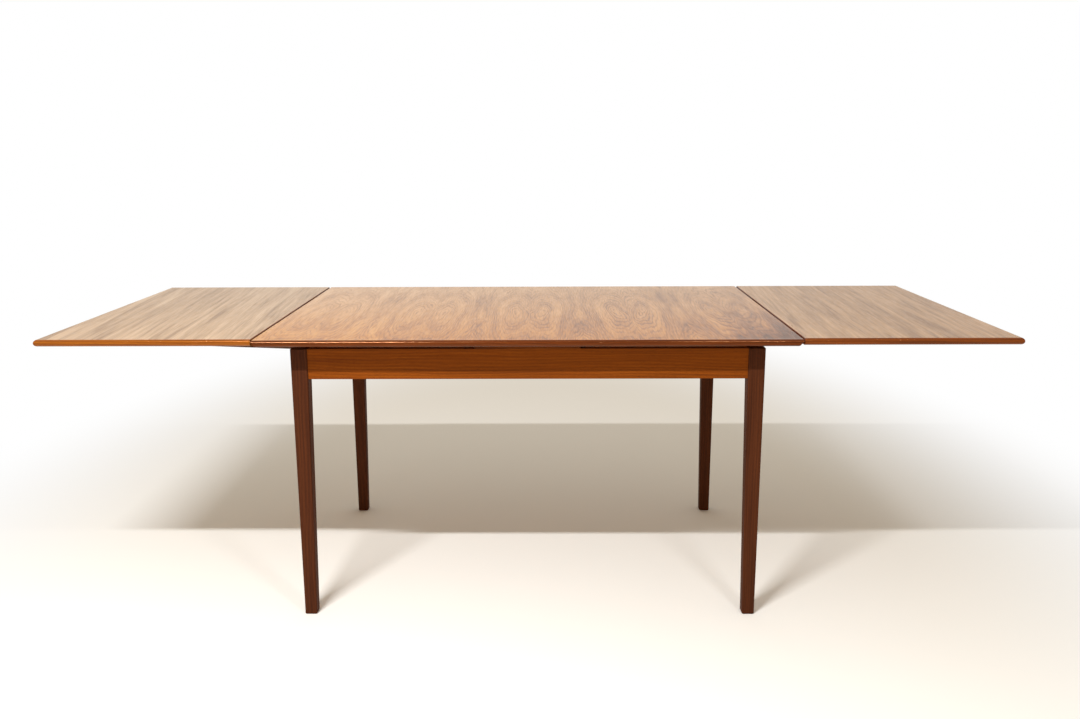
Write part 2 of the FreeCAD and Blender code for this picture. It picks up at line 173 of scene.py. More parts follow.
# Veneer, sanded and wiped with oil: a soft, even sheen.
VENEER_FINISH = {"roughness": 0.32, "relief": 0.3, "dents": 0.6, "specular": 0.13, "tint": "ffffff",
                 "film": 0.04, "film_roughness": 0.15, "pore": "5c3a22", "pore_depth": 0.15}
# Edging along the length, rounded by hand and rubbed with oil: slightly uneven, so that a long lamp shows
# in it as a broken bright line.
EDGE_FINISH = {"roughness": 0.14, "relief": 0.6, "dents": 3.0, "specular": 0.8, "tint": "dd9a68",
               "film": 0.0, "film_roughness": 0.1, "pore": "2c1007", "pore_depth": 0.35}
# Edging at the ends, where leaf and top meet: the same wood with no more sheen than the veneer.
END_FINISH = {"roughness": 0.3, "relief": 0.5, "dents": 1.5, "specular": 0.13, "tint": "dd9a68",
              "film": 0.04, "film_roughness": 0.15, "pore": "2c1007", "pore_depth": 0.35}
# Rails, legs and runners, planed and thinly oiled: nearly matt.
RAIL_FINISH = {"roughness": 0.55, "relief": 0.5, "dents": 0.8, "specular": 0.04, "tint": "ffffff",
               "film": 0.0, "film_roughness": 0.3, "pore": "2e1206", "pore_depth": 0.35}
# Beech, planed and left bare: matt, with open pores.
BARE_FINISH = {"roughness": 0.6, "relief": 0.6, "dents": 0.5, "specular": 0.3, "tint": "ffffff",
               "film": 0.0, "film_roughness": 0.3, "pore": "7a5535", "pore_depth": 0.3}


# ---- Solid wood ----

RING_SWAY = 40 * MM           # how far the growth rings wander along a board
RINGS_SHARE = 0.1             # how much of the figure is rings, next to streaks and fibre
WAVE_TURNS = math.tau / 20    # a wave texture of this scale has one ring for each unit


def solid_colour(tree, place, seed, ramp, ring_mm=6.0):
    """Solid timber cut lengthwise: growth rings, long colour streaks and fibre."""
    wander = add(tree, "ShaderNodeMapping", {"Vector": place, "Scale": (9.0, 9.0, 1.6)})
    sway = add(tree, "ShaderNodeTexNoise", {"Vector": wander, "Scale": 1.0, "Detail": 2.0})
    sway = sway.outputs["Color"]
    offset = add(tree, "ShaderNodeVectorMath", {0: sway, "Scale": RING_SWAY}, operation="SCALE")
    swayed = add(tree, "ShaderNodeVectorMath", {0: place, 1: offset}, operation="ADD")
    pith = add(tree, "ShaderNodeMapping", {"Vector": swayed, "Location": (0.11 + 0.03 * seed, 0.07, 0.0)})
    rings = add(tree, "ShaderNodeTexWave", {
        "Vector": pith, "Scale": WAVE_TURNS / (ring_mm * MM), "Distortion": 1.2,
        "Detail": 1.0, "Detail Scale": 1.5,
    }, wave_type="RINGS", rings_direction="Z").outputs["Fac"]
    broad = streaks(tree, place, 16.0, 520.0, seed, detail=3.0)
    narrow = streaks(tree, place, 3.5, 200.0, seed + 1)
    fibre = streaks(tree, place, 1.0, 80.0, seed + 2)
    rest = 1 - RINGS_SHARE
    figure = weighted(
        tree, (broad, 0.45 * rest), (narrow, 0.3 * rest), (fibre, 0.25 * rest), (rings, RINGS_SHARE),
    )
    return add(tree, "ShaderNodeValToRGB", {"Fac": figure}, stops=ramp).outputs["Color"]


def solid_wood(name, grain, seed, ramp, finish, **rings):
    """A material of planed solid timber with its grain along X, Y or Z."""
    material, tree = new_tree(name)
    place = grain_space(tree, grain)
    finished(tree, solid_colour(tree, place, seed, ramp, **rings), place, seed, finish)
    return material


# Teak edging, rounded and oiled: red-brown to orange, streaky, with a bright line along the rounding.
TOP_EDGE = [(0.34, "341102"), (0.45, "461802"), (0.55, "542002"), (0.68, "642a05")]
# The left leaf's edging is lighter and the right leaf's darker: painted light and painted shade on one
# wood, as the light falls from the left.
LEFT_LEAF_EDGE_PAINTED_LIGHT = [(0.34, "5f2b09"), (0.45, "7a3f0b"), (0.55, "8d4e0f"), (0.68, "a0611b")]
RIGHT_LEAF_EDGE_PAINTED_SHADE = [(0.34, "4e2006"), (0.45, "652d07"), (0.55, "763709"), (0.68, "874510")]
# Teak rails, planed and oiled: warm brown with long, quiet streaks.
RAIL = [(0.34, "66300c"), (0.45, "75390b"), (0.55, "803f0c"), (0.68, "8e4b11")]
# Teak edging of the centre board, planed and oiled: the same brown, darker as painted shade, where it sits
# under the top.
BOARD_EDGE_PAINTED_SHADE = [(0.34, "4c240f"), (0.45, "5b2e10"), (0.55, "683511"), (0.68, "764017")]
# Teak legs, planed, rounded and oiled: dark red-brown.
LEG = [(0.32, "391d10"), (0.45, "452313"), (0.55, "4e2815"), (0.70, "5a3019")]
# Teak runners, planed and waxed: a plain dark brown.
RUNNER = [(0.34, "3d2010"), (0.45, "553019"), (0.55, "653a1f"), (0.68, "774727")]
# Beech, planed and left bare: pale, close and even.
BEECH = [(0.34, "b08a5f"), (0.45, "c6a175"), (0.55, "cfac81"), (0.68, "dabb93")]
BEECH_RING_MM = 3.0
# Plain backing veneer under the panels: even brown, unpolished.
BACKING = [(0.34, "7d5a3c"), (0.45, "937049"), (0.55, "a17d55"), (0.68, "b08d64")]


# ---- Veneers ----

# Straight-sliced teak veneer on the leaves, sanded and oiled: pale, with long soft streaks. The left leaf's
# is lighter and the right leaf's darker: painted light and painted shade on one veneer.
LEFT_LEAF_TOP_PAINTED_LIGHT = [(0.38, "8e6d4a"), (0.47, "ae8f6c"), (0.53, "bd9d7a"), (0.63, "d0b493")]
RIGHT_LEAF_TOP_PAINTED_SHADE = [(0.38, "88623b"), (0.47, "a68159"), (0.53, "b58e64"), (0.63, "c9a47b")]
# Figured teak veneer on the main top, sanded and oiled: warm brown in front and paler towards the back,
# where the paleness is painted sheen.
MAIN_TOP_FRONT = [(0.18, "5a340f"), (0.36, "87521f"), (0.50, "af7431"), (0.64, "ca9146")]
MAIN_TOP_BACK_PAINTED_SHEEN = [(0.18, "78563c"), (0.36, "a58060"), (0.50, "c8a077"), (0.64, "deba94")]
PAINTED_SHEEN_STARTS = -0.44         # painted sheen begins at the front edge
PAINTED_SHEEN_FULL = 0.44            # and is at its fullest at the back edge

LEAF_PAINTED_SHEEN_TO_THE_BACK = 0.10  # lighter for each metre towards the back: painted sheen
PAINTED_SHEEN_TO_THE_BACK = 0.05    # the same painted sheen on the main top
PAINTED_SHADE_TO_THE_RIGHT = 0.09    # darker for each metre to the right: painted shade, as less light falls there

VENEER_SHEET = 0.135          # width of one sliced sheet, laid beside its mirror image
SLICE_DRIFT = 7 * MM          # the figure moves this far into the wood from one pair to the next
EYE_OFFSET = 0.038            # eye of the figure to the joint between a mirrored pair
EYE_LINE = -0.085             # eyes lie a little in front of the table's middle
FIGURE_STRETCH = 6.5          # the figure is this much longer than it is wide
# What bends the figure, from broad waves to small ripples: scale of the noise, and its reach in mm.
BENDS = ((13.0, 62.0), (48.0, 11.0), (150.0, 4.0))
RING_MM = 7.5                 # from one growth line to the next, across the sheet
RING_ONSET = 0.2              # level of the wave at which a growth line begins
RINGS_FULL_WITHIN = 0.03      # growth lines are clearest this near their eye
RINGS_FAINT_BEYOND = 0.11     # and from here on they have this share of their strength
RINGS_FAINT_SHARE = 0.5
BAND_MM = 34.0                # broad, faint bands round the eyes
FLAME_MM = 52.0               # from one flame's point to the next, along the sheet
FLAME_SLOPE = 3.4             # how steeply a flame's sides run forward from its point
FLAMES_START = -0.08          # flames begin in front of the eyes
FLAMES_FULL = -0.26           # and are clearest towards the front edge
FLAMES_OUTER_SHARE = 0.55     # and keep to the part of a sheet that is away from its eye

# Dark feathers in the main top's veneer: where each lies, its half width and half length, and its depth.
# The last, widest one darkens the right-front corner: a feather and painted shade.
FEATHERS_AND_PAINTED_SHADE = [
    ((-0.405, 0.24), (0.035, 0.20), 0.07),
    ((-0.140, 0.10), (0.030, 0.22), 0.07),
    ((0.135, -0.22), (0.055, 0.20), 0.07),
    ((0.400, 0.18), (0.045, 0.26), 0.07),
    ((0.410, -0.24), (0.040, 0.16), 0.08),
    # a feather and painted shade: the right-front corner, where less light falls
    ((0.680, -0.43), (0.290, 0.48), 0.27),
]
FEATHER_RAGGED = 1.6          # how far clouds in the wood fray a feather's outline
FEATHER_CORE = 0.9            # full depth within this frayed distance from its middle
FEATHER_RIM = 1.9             # and none beyond this one

VENEER_THICKNESS = 0.5 * MM
CRISP_EDGE = 0.3 * MM         # over this height one wood gives way to the next


def leaf_colour(tree, seed, lean, ramp):
    """Straight-sliced veneer: long soft streaks that run across the table, from 34 mm wide to 1.2 mm."""
    place = grain_space(tree, "Y", lean)
    along = add(tree, "ShaderNodeSeparateXYZ", {"Vector": place}).outputs["Z"]
    broad = streaks(tree, place, 34.0, 620.0, seed, detail=3.0, distortion=0.8)
    middle = streaks(tree, place, 10.0, 330.0, seed + 1, detail=3.0, distortion=0.5)
    narrow = streaks(tree, place, 3.2, 190.0, seed + 2)
    fibre = streaks(tree, place, 1.2, 90.0, seed + 3)
    # The last term lightens the veneer towards the back: painted sheen.
    figure = weighted(
        tree, (broad, 0.40), (middle, 0.30), (narrow, 0.18), (fibre, 0.12),
        (along, LEAF_PAINTED_SHEEN_TO_THE_BACK),
    )
    return add(tree, "ShaderNodeValToRGB", {"Fac": figure}, stops=ramp).outputs["Color"], place


def main_top_colour(tree, seed):
    """Figured veneer in mirrored pairs: ringed eyes, flames in front of them and dark feathers between;
    painted sheen at the back, painted shade to the right.
    """
    place = add(tree, "ShaderNodeTexCoord").outputs["Object"]
    across, along, _ = add(tree, "ShaderNodeSeparateXYZ", {"Vector": place}).outputs
    folded = add(tree, "ShaderNodeMath", {0: across, 1: VENEER_SHEET}, operation="PINGPONG")
    slices = add(tree, "ShaderNodeMath", {0: across, 1: VENEER_SHEET}, operation="DIVIDE")
    slices = add(tree, "ShaderNodeMath", {0: slices}, operation="FLOOR")
    drift = add(tree, "ShaderNodeMath", {0: slices, 1: SLICE_DRIFT}, operation="MULTIPLY")
    shortened = add(tree, "ShaderNodeMath", {0: along, 1: FIGURE_STRETCH}, operation="DIVIDE")
    sheet = add(tree, "ShaderNodeCombineXYZ", {"X": folded, "Y": shortened, "Z": drift})
    bent = sheet
    for scale, reach_mm in BENDS:
        noise = add(tree, "ShaderNodeTexNoise", {"Vector": sheet, "Scale": scale, "Detail": 2.0})
        noise = noise.outputs["Color"]
        centred = add(tree, "ShaderNodeVectorMath", {0: noise, 1: (0.5, 0.5, 0.5)}, operation="SUBTRACT")
        push = add(tree, "ShaderNodeVectorMath", {0: centred, "Scale": reach_mm * MM}, operation="SCALE")
        bent = add(tree, "ShaderNodeVectorMath", {0: bent, 1: push}, operation="ADD")
    rings, bands = ringed_eyes(tree, sheet, bent)
    flames = flames_before_eyes(tree, bent, folded, along)
    cloud = add(tree, "ShaderNodeTexNoise", {"Vector": bent, "Scale": 20.0, "Detail": 3.0})
    grain = grain_space(tree, "Y")
    fibre = streaks(tree, grain, 1.4, 70.0, seed + 2)
    # Across and along add painted shade to the right and painted sheen towards the back.
    figure = weighted(
        tree, (cloud, 0.30), (fibre, 0.46), (bands, 0.03), (rings, -0.16), (flames, -0.11),
        (across, -PAINTED_SHADE_TO_THE_RIGHT), (along, PAINTED_SHEEN_TO_THE_BACK), (1.0, 0.125),
    )
    figure = feathered(tree, figure, place, cloud)
    front = add(tree, "ShaderNodeValToRGB", {"Fac": figure}, stops=MAIN_TOP_FRONT)
    back = add(tree, "ShaderNodeValToRGB", {"Fac": figure}, stops=MAIN_TOP_BACK_PAINTED_SHEEN)
    # Mixing in the paler back ramp towards the back paints the sheen.
    painted_sheen_share = add(tree, "ShaderNodeMapRange", {
        "Value": along, "From Min": PAINTED_SHEEN_STARTS, "From Max": PAINTED_SHEEN_FULL,
    })
    colour = add(tree, "ShaderNodeMix", {0: painted_sheen_share, 6: front, 7: back}, data_type="RGBA")
    return colour.outputs[2], grain


def ringed_eyes(tree, sheet, bent):
    """Growth lines round each eye, patchy and fainter away from it, and the broad bands they lie in."""
    eye = (EYE_OFFSET, EYE_LINE / FIGURE_STRETCH, 0.0)
    from_eye = add(tree, "ShaderNodeVectorMath", {0: bent, 1: eye}, operation="SUBTRACT")
    flat = add(tree, "ShaderNodeVectorMath", {0: from_eye, 1: (1.0, 1.0, 0.0)}, operation="MULTIPLY")
    reach = add(tree, "ShaderNodeVectorMath", {0: flat}, operation="LENGTH").outputs["Value"]
    turns = add(tree, "ShaderNodeMath", {0: reach, 1: math.tau / (RING_MM * MM)}, operation="MULTIPLY")
    wave = add(tree, "ShaderNodeMath", {0: turns}, operation="SINE")
    line = add(tree, "ShaderNodeMapRange", {"Value": wave, "From Min": RING_ONSET, "From Max": 1.0})
    near = add(tree, "ShaderNodeMapRange", {
        "Value": reach, "From Min": RINGS_FULL_WITHIN, "From Max": RINGS_FAINT_BEYOND,
        "To Min": 1.0, "To Max": RINGS_FAINT_SHARE,
    })
    patchy = add(tree, "ShaderNodeTexNoise", {"Vector": sheet, "Scale": 30.0, "Detail": 2.0})
    patchy = add(tree, "ShaderNodeMapRange", {"Value": patchy, "From Min": 0.3, "From Max": 0.7})
    clear = add(tree, "ShaderNodeMath", {0: near, 1: patchy}, operation="MULTIPLY")
    rings = add(tree, "ShaderNodeMath", {0: line, 1: clear}, operation="MULTIPLY")
    turns = add(tree, "ShaderNodeMath", {0: reach, 1: math.tau / (BAND_MM * MM)}, operation="MULTIPLY")
    bands = add(tree, "ShaderNodeMath", {0: turns}, operation="SINE")
    return rings, bands


def flames_before_eyes(tree, bent, folded, along):
    """Pointed growth lines in front of the eyes, in the outer part of each sheet."""
    slope = (-FLAME_SLOPE, FIGURE_STRETCH, 0.0)
    climb = add(tree, "ShaderNodeVectorMath", {0: bent, 1: slope}, operation="DOT_PRODUCT")
    climb = climb.outputs["Value"]
    turns = add(tree, "ShaderNodeMath", {0: climb, 1: math.tau / (FLAME_MM * MM)}, operation="MULTIPLY")
    flame = add(tree, "ShaderNodeMath", {0: turns}, operation="SINE")
    flame = add(tree, "ShaderNodeMapRange", {"Value": flame, "From Min": 0.1, "From Max": 1.0})
    outer = add(tree, "ShaderNodeMapRange", {
        "Value": folded, "From Min": FLAMES_OUTER_SHARE * VENEER_SHEET, "From Max": VENEER_SHEET,
    })
    forward = add(tree, "ShaderNodeMapRange", {
        "Value": along, "From Min": FLAMES_START, "From Max": FLAMES_FULL,
    })
    share = add(tree, "ShaderNodeMath", {0: outer, 1: forward}, operation="MULTIPLY")
    return add(tree, "ShaderNodeMath", {0: share, 1: flame}, operation="MULTIPLY")


def feathered(tree, figure, place, cloud):
    """The figure, made darker in each feather; the last one is partly painted shade."""
    for (x, y), (half_width, half_length), strength in FEATHERS_AND_PAINTED_SHADE:
        spread = (1 / half_width, 1 / half_length, 0.0)
        local = add(tree, "ShaderNodeVectorMath", {0: place, 1: (x, y, 0.0)}, operation="SUBTRACT")
        local = add(tree, "ShaderNodeVectorMath", {0: local, 1: spread}, operation="MULTIPLY")
        distance = add(tree, "ShaderNodeVectorMath", {0: local}, operation="LENGTH").outputs["Value"]
        ragged = add(tree, "ShaderNodeMath", {0: cloud, 1: FEATHER_RAGGED, 2: distance},
                     operation="MULTIPLY_ADD")
        depth = add(tree, "ShaderNodeMapRange", {
            "Value": ragged, "From Min": FEATHER_CORE, "From Max": FEATHER_RIM,
            "To Min": -strength, "To Max": 0.0,
        }, interpolation_type="SMOOTHSTEP")
        figure = add(tree, "ShaderNodeMath", {0: figure, 1: depth}, operation="ADD")
    return figure


def above(tree, level):
    """1 above a height and 0 below it, with a crisp edge."""
    place = add(tree, "ShaderNodeTexCoord").outputs["Object"]
    height = add(tree, "ShaderNodeSeparateXYZ", {"Vector": place}).outputs["Z"]
    return add(tree, "ShaderNodeMapRange", {
        "Value": height, "From Min": level - CRISP_EDGE / 2, "From Max": level + CRISP_EDGE / 2,
    })


def veneered(name, face, level, seed):
    """A panel with face veneer above a level and plain backing veneer below it."""
    material, tree = new_tree(name)
    face_colour, place = face(tree)
    backing = solid_colour(tree, grain_space(tree, "X"), 51, BACKING)
    colour = add(tree, "ShaderNodeMix", {0: above(tree, level), 6: backing, 7: face_colour},
                 data_type="RGBA")
    finished(tree, colour.outputs[2], place, seed, VENEER_FINISH)
    return material


def edging(name, grain, seed, ramp, face, level):
    """Solid edging, rounded after the face veneer was laid, so that veneer shows on its flat top."""
    material, tree = new_tree(name)
    face_colour, _ = face(tree)
    place = grain_space(tree, grain)
    solid = solid_colour(tree, place, seed, ramp)
    colour = add(tree, "ShaderNodeMix", {0: above(tree, level), 6: solid, 7: face_colour},
                 data_type="RGBA")
    finished(tree, colour.outputs[2], place, seed, EDGE_FINISH if grain == "X" else END_FINISH)
    return material


def zinc_steel():
    """Zinc-plated steel, turned: dull grey with a faint bloom, mottled over about a millimetre."""
    material, tree = new_tree("zinc_plated_steel_turned")
    place = add(tree, "ShaderNodeTexCoord").outputs["Object"]
    bloom = add(tree, "ShaderNodeTexNoise", {"Vector": place, "Scale": 900.0, "Detail": 2.0})
    colour = add(tree, "ShaderNodeValToRGB", {"Fac": bloom}, stops=[(0.35, "8d8a80"), (0.65, "b3b0a6")])
    shader = add(tree, "ShaderNodeBsdfPrincipled", {
        "Base Color": colour, "Metallic": 1.0, "Roughness": 0.38,
    })
    add(tree, "ShaderNodeOutputMaterial", {"Surface": shader})
    return material


# ---- Which piece has which wood ----

EDGES = {"main_top": TOP_EDGE, "left_leaf": LEFT_LEAF_EDGE_PAINTED_LIGHT, "right_leaf": RIGHT_LEAF_EDGE_PAINTED_SHADE}
FACES = {
    "main_top": lambda tree: main_top_colour(tree, 3),
    "left_leaf": lambda tree: leaf_colour(tree, 11, -5.0, LEFT_LEAF_TOP_PAINTED_LIGHT),
    "right_leaf": lambda tree: leaf_colour(tree, 23, 3.0, RIGHT_LEAF_TOP_PAINTED_SHADE),
}


def panel_woods():
    """Materials of the three veneered panels and of the edging round them."""
    woods = {}
    for number, (body, face) in enumerate(FACES.items()):
        low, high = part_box(body + "_panel")
        middle = (low[2] + high[2]) / 2
        woods[body] = veneered("teak_veneer_" + body + "_oiled", face, middle, 3 + number)
        for grain in ("X", "Y"):
            name = "teak_edging_" + body + "_along_" + grain.lower()
            level = high[2] - VENEER_THICKNESS
            woods[body + grain] = edging(name, grain, 31 + 5 * number, EDGES[body], face, level)
    return woods


def dress_wood():
    """Give every wooden piece its material, with the grain along the piece."""
    woods = panel_woods()
    for grain in ("X", "Y"):
        along = "_along_" + grain.lower()
        woods["rail" + grain] = solid_wood("teak_rail_oiled" + along, grain, 5, RAIL, RAIL_FINISH)
        woods["beech" + grain] = solid_wood(
            "beech_planed" + along, grain, 9, BEECH, BARE_FINISH, ring_mm=BEECH_RING_MM,
        )
    # Darker than the rails: painted shade under the top.
    woods["board_edge"] = solid_wood("teak_board_edging_painted_shade", "X", 15, BOARD_EDGE_PAINTED_SHADE, RAIL_FINISH)
    woods["runner"] = solid_wood("teak_runner_waxed", "X", 13, RUNNER, RAIL_FINISH)
    woods["peg"] = solid_wood("beech_turned_peg", "Z", 9, BEECH, BARE_FINISH, ring_mm=BEECH_RING_MM)
    woods["leg"] = solid_wood("teak_leg_oiled", "Z", 7, LEG, RAIL_FINISH)
    for name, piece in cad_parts.items():
        piece.data.materials.clear()
        piece.data.materials.append(woods[wood_for(name)])


def wood_for(name):
    """The wood of a node, from the words in its name."""
    for body in ("main_top", "left_leaf", "right_leaf"):
        if name == body + "_panel":
            return body
        if name.startswith(body + "_lipping_"):
            return body + ("X" if name.endswith(("front", "back")) else "Y")
    if "_runner_" in name:
        return "runner"
    if name.startswith("leg_"):
        return "leg"
    if name.startswith("centre_board_lipping"):
        return "board_edge"
    if name.startswith("apron_"):
        return "railX"
    if name.startswith("end_rail_") or name == "centre_board_panel":
        return "railY"
    if name.startswith("guide_peg_"):
        return "peg"
    return "beechY" if name.startswith("cross_rail_") else "beechX"


# ---- Screw heads ----

SCREW_SIZES = {
    "Head Diameter": 7.6 * MM,
    "Head Height": 1.5 * MM,
    "Slot Width": 1.1 * MM,
    "Slot Depth": 0.8 * MM,
}
CROWN_SHARE = 0.78            # radius of a head's flat crown, as a share of its rim's


def screw_tree(material):
    """Geometry nodes that put one slotted screw head at each point, facing the point's own axis."""
    tree = bpy.data.node_groups.new("slotted_screw_heads", "GeometryNodeTree")
    tree.interface.new_socket("Points", in_out="INPUT", socket_type="NodeSocketGeometry")
    for name in SCREW_SIZES:
        tree.interface.new_socket(name, in_out="INPUT", socket_type="NodeSocketFloat")
    tree.interface.new_socket("Heads", in_out="OUTPUT", socket_type="NodeSocketGeometry")
    given = add(tree, "NodeGroupInput").outputs
    radius = add(tree, "ShaderNodeMath", {0: given["Head Diameter"], 1: 0.5}, operation="MULTIPLY")
    crown = add(tree, "ShaderNodeMath", {0: radius, 1: CROWN_SHARE}, operation="MULTIPLY")
    disc = add(tree, "GeometryNodeMeshCone", {
        "Vertices": 24, "Side Segments": 1, "Radius Top": crown, "Radius Bottom": radius,
        "Depth": given["Head Height"],
    })
    slot_length = add(tree, "ShaderNodeMath", {0: radius, 1: 3.0}, operation="MULTIPLY")
    slot_height = add(tree, "ShaderNodeMath", {0: given["Slot Depth"], 1: 2.0}, operation="MULTIPLY")
    slot_size = add(tree, "ShaderNodeCombineXYZ", {
        "X": slot_length, "Y": given["Slot Width"], "Z": slot_height,
    })
    bar = add(tree, "GeometryNodeMeshCube", {"Size": slot_size})
    lift = add(tree, "ShaderNodeCombineXYZ", {"Z": given["Head Height"]})
    raised = add(tree, "GeometryNodeTransform", {"Geometry": bar, "Translation": lift})
    head = add(tree, "GeometryNodeMeshBoolean", {"Mesh 1": disc, "Mesh 2": raised},
               operation="DIFFERENCE", solver="EXACT")
    axis = add(tree, "GeometryNodeInputNamedAttribute", {"Name": "axis"}, data_type="FLOAT_VECTOR")
    facing = add(tree, "FunctionNodeAlignRotationToVector", {"Vector": axis}, axis="Z")
    turn = add(tree, "FunctionNodeRandomValue", {"Min": (0, 0, 0), "Max": (0, 0, math.pi), "Seed": 4},
               data_type="FLOAT_VECTOR")
    spun = add(tree, "FunctionNodeRotateRotation", {"Rotation": facing, "Rotate By": turn},
               rotation_space="LOCAL")
    placed = add(tree, "GeometryNodeInstanceOnPoints", {
        "Points": given["Points"], "Instance": head, "Rotation": spun,
    })
    real = add(tree, "GeometryNodeRealizeInstances", {"Geometry": placed})
    coated = add(tree, "GeometryNodeSetMaterial", {"Geometry": real, "Material": material})
    add(tree, "NodeGroupOutput", {"Heads": coated})
    return tree


def screw_heads(name, body, tree, places):
    """One mesh of screw heads riding on a body. Each place is a position and the way the head faces."""
    points = bpy.data.meshes.new(name + "_points")
    points.from_pydata([position for position, _ in places], [], [])
    axis = points.attributes.new("axis", "FLOAT_VECTOR", "POINT")
    axis.data.foreach_set("vector", [c for _, direction in places for c in direction])
    piece = bpy.data.objects.new(name, points)
    bpy.context.scene.collection.objects.link(piece)
    modifier = piece.modifiers.new("heads", "NODES")
    modifier.node_group = tree
    for socket in tree.interface.items_tree:
        if socket.name in SCREW_SIZES:
            modifier[socket.identifier] = SCREW_SIZES[socket.name]
    seen = piece.evaluated_get(bpy.context.evaluated_depsgraph_get())
    plain = bpy.data.meshes.new_from_object(seen)
    piece.modifiers.clear()
    piece.data = plain
    plain.name = name
    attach(piece, body)


RUNNER_SCREW_END = 40 * MM    # first and last screw to the ends of a runner's glued length
RUNNER_SCREW_SEAT = 9 * MM    # floor of a runner's recess to the leaf
SHALLOW_RECESS = 2.5 * MM     # depth of the recesses in stops and centre board
BOARD_SCREW_SPACING = 440 * MM
CORNER_SCREW_SPACING = 22 * MM


def leaf_screws(side):
    """Screw heads sunk in the under edges of one leaf's runners and stops."""
    down = Vector((0, 0, -1))
    outward = 1 if side == "right" else -1
    leaf_low, leaf_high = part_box(side + "_leaf_lipping_front")
    inner = leaf_low[0] if side == "right" else leaf_high[0]
    places = []
    for place in ("front", "back"):
        low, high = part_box(side + "_leaf_runner_" + place)
        stop_low, stop_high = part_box(side + "_leaf_stop_" + place)
        y = (low[1] + high[1]) / 2
        outer = high[0] if side == "right" else low[0]
        first = inner + outward * RUNNER_SCREW_END
        last = outer - outward * RUNNER_SCREW_END
        for step in (0.0, 0.5, 1.0):
            x = first + step * (last - first)
            places.append((Vector((x, y, leaf_low[2] - RUNNER_SCREW_SEAT)), down))
        x = (stop_low[0] + stop_high[0]) / 2
        places.append((Vector((x, y, stop_low[2] + SHALLOW_RECESS)), down))
    return places


def frame_screws():
    """Screw heads on the corner blocks and sunk in the centre board."""
    places = []
    for corner in ("back_left", "back_right", "front_left", "front_right"):
        low, high = (Vector(c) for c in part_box("corner_block_" + corner))
        middle = (low + high) / 2
        inward = Vector((-math.copysign(1, middle.x), -math.copysign(1, middle.y), 0)).normalized()
        for lift in (-0.5, 0.5):
            places.append((middle + Vector((0, 0, lift * CORNER_SCREW_SPACING)), inward))
    board_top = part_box("centre_board_panel")[1][2]
    for side in ("left", "right"):
        low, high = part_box("cross_rail_" + side)
        x = (low[0] + high[0]) / 2
        for y in (-BOARD_SCREW_SPACING / 2, BOARD_SCREW_SPACING / 2):
            places.append((Vector((x, y, board_top - SHALLOW_RECESS)), Vector((0, 0, 1))))
    return places


def add_screws():
    """All the screw heads, one mesh for each body."""
    tree = screw_tree(zinc_steel())
    screw_heads("left_leaf_screw_heads", "left_leaf", tree, leaf_screws("left"))
    screw_heads("right_leaf_screw_heads", "right_leaf", tree, leaf_screws("right"))
    screw_heads("underframe_screw_heads", "underframe", tree, frame_screws())


# ---- Guide battens ----

BATTEN_WIDTH = 19 * MM        # out from the apron
BATTEN_ARRIS = 1.5 * MM
BATTEN_GAP = 0.6 * MM         # clear of corner block, rail and leg


def guide_battens():
    """Beech battens glued inside the aprons under their top edge, which keep the outer runners straight."""
    wood = solid_wood("beech_batten_planed", "X", 27, BEECH, BARE_FINISH, ring_mm=BEECH_RING_MM)
    for face, inward in (("front", 1), ("back", -1)):
        apron_low, apron_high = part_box("apron_" + face)
        inner = apron_high[1] if inward == 1 else apron_low[1]
        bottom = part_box("corner_block_" + face + "_left")[1][2] + BATTEN_GAP
        top = apron_high[2] - BATTEN_GAP
        arris = inner + inward * (BATTEN_WIDTH - BATTEN_ARRIS)
        outer = inner + inward * BATTEN_WIDTH
        profile = [
            (inner, bottom), (arris, bottom), (outer, bottom + BATTEN_ARRIS),
            (outer, top - BATTEN_ARRIS), (arris, top), (inner, top),
        ]
        for side, outward in (("left", -1), ("right", 1)):
            rail_low, rail_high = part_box("cross_rail_" + side)
            leg_low, leg_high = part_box("leg_" + face + "_" + side)
            start = rail_high[0] if outward == 1 else rail_low[0]
            end = leg_low[0] if outward == 1 else leg_high[0]
            start += outward * BATTEN_GAP
            end -= outward * BATTEN_GAP
            batten = prism("guide_batten_" + face + "_" + side, profile, start, end)
            batten.data.materials.append(wood)
            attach(batten, "underframe")


def prism(name, profile, start, end):
    """A straight piece along X with a given outline in Y and Z."""
    count = len(profile)
    points = [(x, y, z) for x in (start, end) for y, z in profile]
    faces = [tuple(range(count)), tuple(range(2 * count - 1, count - 1, -1))]
    faces += [(i, i + count, (i + 1) % count + count, (i + 1) % count) for i in range(count)]
    mesh = bpy.data.meshes.new(name)
    mesh.from_pydata(points, [], faces)
    shape = bmesh.new()
    shape.from_mesh(mesh)
    bmesh.ops.recalc_face_normals(shape, faces=shape.faces)
    shape.to_mesh(mesh)
    shape.free()
    piece = bpy.data.objects.new(name, mesh)
    bpy.context.scene.collection.objects.link(piece)
    return piece


# ---- Studio ----

FLOOR_REACH = 14.0
FLOOR_SHAPE = (1.9, 1.0, 1.0)  # the floor pales this much sooner to the sides than to front and back
FADE_START = 1.9              # from here it pales into the background
FADE_END = 4.2
FLOOR_PAINT = "f8f7f3"
FILL_COLOUR = "fff0da"        # a slightly warm room
FILL_STRENGTH = 0.5

# The lamps: where each hangs, where it points, its width and height, and its power in watts.
LAMPS = {
    "key": ((-1.08, -2.3, 2.86), (-1.08, -2.299, 1.86), (0.88, 0.09), 133.0),
    "side": ((1.05, -2.3, 2.86), (1.05, -2.299, 1.86), (0.4, 0.1), 20.0),
    "rear": ((0.0, 3.4, 2.7), (0.0, 0.8, 0.2), (3.6, 1.4), 15.0),
}


def background_rays(tree):
    """1 for the rays that show the background: seen directly, in gloss or through glass."""
    rays = add(tree, "ShaderNodeLightPath").outputs
    seen = add(tree, "ShaderNodeMath", {0: rays["Is Camera Ray"], 1: rays["Is Glossy Ray"]},
               operation="MAXIMUM")
    return add(tree, "ShaderNodeMath", {0: seen, 1: rays["Is Transmission Ray"]}, operation="MAXIMUM")


